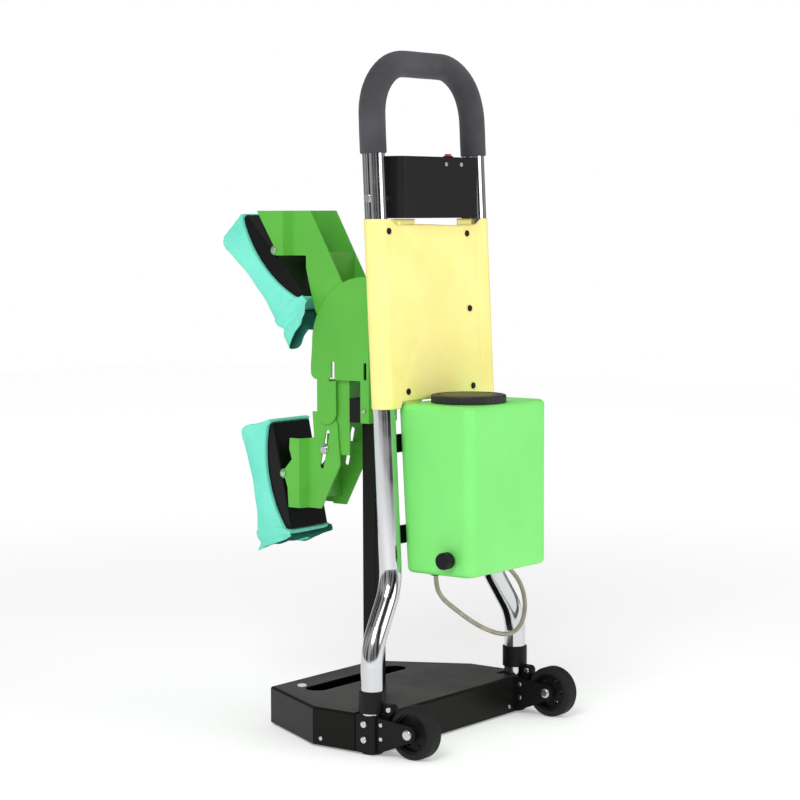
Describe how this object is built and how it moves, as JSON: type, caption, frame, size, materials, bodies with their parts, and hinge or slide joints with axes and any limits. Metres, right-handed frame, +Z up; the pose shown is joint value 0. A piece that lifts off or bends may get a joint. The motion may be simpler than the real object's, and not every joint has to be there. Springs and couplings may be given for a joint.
{
  "type": "escalator handrail cleaning machine",
  "caption": "Wheeled stand that presses cloth-covered heads against a moving escalator handrail, with a liquid tank and pump box on a tubular handle frame.",
  "frame": {"origin": "on the floor under the middle of the machine's bounding box", "axes": "+Z up, +Y forward to the cleaning heads, +X to the operator's right; the operator stands at -Y behind the handle"},
  "size_m": [0.398, 0.5052, 0.989],
  "materials": {
    "base_paint": "satin powder coat, near black",
    "socket_paint": "satin powder coat, black",
    "bracket_black": "satin powder coat, black",
    "floor_steel": "matt black sheet",
    "ballast": "raw plate",
    "tube_chrome": "polished tube",
    "foam": "closed-cell foam sleeve",
    "black_plastic": "moulded, fine grain",
    "lid_plastic": "moulded, fine grain",
    "box_plastic": "textured moulding",
    "white_plastic": "plug",
    "button_red": "push button",
    "feet_rubber": "moulded feet",
    "tyre_rubber": "solid tyre",
    "hub_plastic": "moulded hub",
    "bolts_zinc": "zinc plated",
    "screws_black": "small dark steel screws",
    "post_paint": "satin black tube",
    "tank_green": "light green polyethylene",
    "pump_body": "moulded pump",
    "battery_wrap": "shrink wrap",
    "board_green": "circuit board",
    "banner_vinyl": "yellow coated cloth",
    "snap_black": "snap heads",
    "bracket_green": "leaf green powder coat",
    "holder_black": "moulded tray",
    "sponge": "open-cell sponge",
    "cloth": "turquoise wiping cloth",
    "hose_clear": "translucent flexible tube"
  },
  "bodies": {
    "stand": {"base_box": "base_paint", "leg_socket_left": "socket_paint", "leg_socket_right": "socket_paint", "post_socket": "socket_paint", "wheel_bracket_left": "bracket_black", "wheel_bracket_right": "bracket_black", "tank_bars": "bracket_black", "base_floor": "floor_steel", "ballast_plate": "ballast", "frame_tube": "tube_chrome", "foam_grip": "foam", "leg_sleeves": "black_plastic", "post_cap": "black_plastic", "drain_tap": "black_plastic", "hose_gland": "black_plastic", "tank_outlet": "black_plastic", "box_shell": "box_plastic", "box_cover": "box_plastic", "base_plug": "white_plastic", "front_feet": "feet_rubber", "leg_foot_caps": "feet_rubber", "wheel_axles": "bolts_zinc", "ear_bolts": "bolts_zinc", "leg_bolts": "bolts_zinc", "tank_bar_bolts": "bolts_zinc", "box_side_bolts": "bolts_zinc", "base_screws": "screws_black", "fork_screws": "screws_black", "box_screws": "screws_black", "post_stop_screw": "screws_black", "post": "post_paint", "tank": "tank_green", "pump": "pump_body", "battery": "battery_wrap", "control_board": "board_green", "banner": "banner_vinyl", "banner_snaps": "snap_black", "supply_hose": "hose_clear"},
    "wheel_left": {"wheel_tyre_left": "tyre_rubber", "wheel_hub_left": "hub_plastic"},
    "wheel_right": {"wheel_tyre_right": "tyre_rubber", "wheel_hub_right": "hub_plastic"},
    "carrier": {"head_carrier": "bracket_green", "post_guides": "black_plastic", "guide_bolts": "bolts_zinc", "upper_bracket": "bracket_green", "lower_mount": "bracket_green", "slot_bolts": "bolts_zinc", "upper_pivot_screws": "bolts_zinc"},
    "lower_arm": {"lower_bracket": "bracket_green", "lower_pivot_screws": "bolts_zinc"},
    "upper_head": {"upper_pad_holder": "holder_black", "upper_sponge_pad": "sponge", "upper_cleaning_cloth": "cloth"},
    "lower_head": {"lower_pad_holder": "holder_black", "lower_sponge_pad": "sponge", "lower_cleaning_cloth": "cloth"},
    "lid": {"tank_lid": "lid_plastic"},
    "tap_knob": {"drain_knob": "black_plastic"},
    "button": {"start_button": "button_red"}
  },
  "joints": [
    {"name": "wheel_left_spin", "type": "hinge", "parent": "stand", "child": "wheel_left", "pos_m": [-0.172, -0.2125, 0.0375], "axis": [1, 0, 0], "continuous": true},
    {"name": "wheel_right_spin", "type": "hinge", "parent": "stand", "child": "wheel_right", "pos_m": [0.172, -0.2125, 0.0375], "axis": [1, 0, 0], "continuous": true},
    {"name": "carrier_height", "type": "slide", "parent": "stand", "child": "carrier", "axis": [0, 0, 1], "range_m": [-0.06, 0.05]},
    {"name": "lower_arm_slide", "type": "slide", "parent": "carrier", "child": "lower_arm", "axis": [0, -0.2164, 0.9763], "range_m": [-0.02, 0.02]},
    {"name": "upper_head_rock", "type": "hinge", "parent": "carrier", "child": "upper_head", "pos_m": [0, 0.1455, 0.702], "axis": [1, 0, 0], "range_deg": [-1.5, 8]},
    {"name": "lower_head_rock", "type": "hinge", "parent": "lower_arm", "child": "lower_head", "pos_m": [0, 0.1305, 0.3655], "axis": [1, 0, 0], "range_deg": [-8, 8]},
    {"name": "tank_lid_turn", "type": "hinge", "parent": "stand", "child": "lid", "pos_m": [-0.018, -0.1935, 0.495], "axis": [0, 0, 1], "range_deg": [0, 300]},
    {"name": "drain_knob_turn", "type": "hinge", "parent": "stand", "child": "tap_knob", "pos_m": [-0.111, -0.2185, 0.271], "axis": [-1, 0, 0], "range_deg": [0, 90]},
    {"name": "start_button_push", "type": "slide", "parent": "stand", "child": "button", "axis": [0, 0, -1], "range_m": [0, 0.002], "stiffness_N_per_m": 400, "springref_m": -0.001}
  ]
}
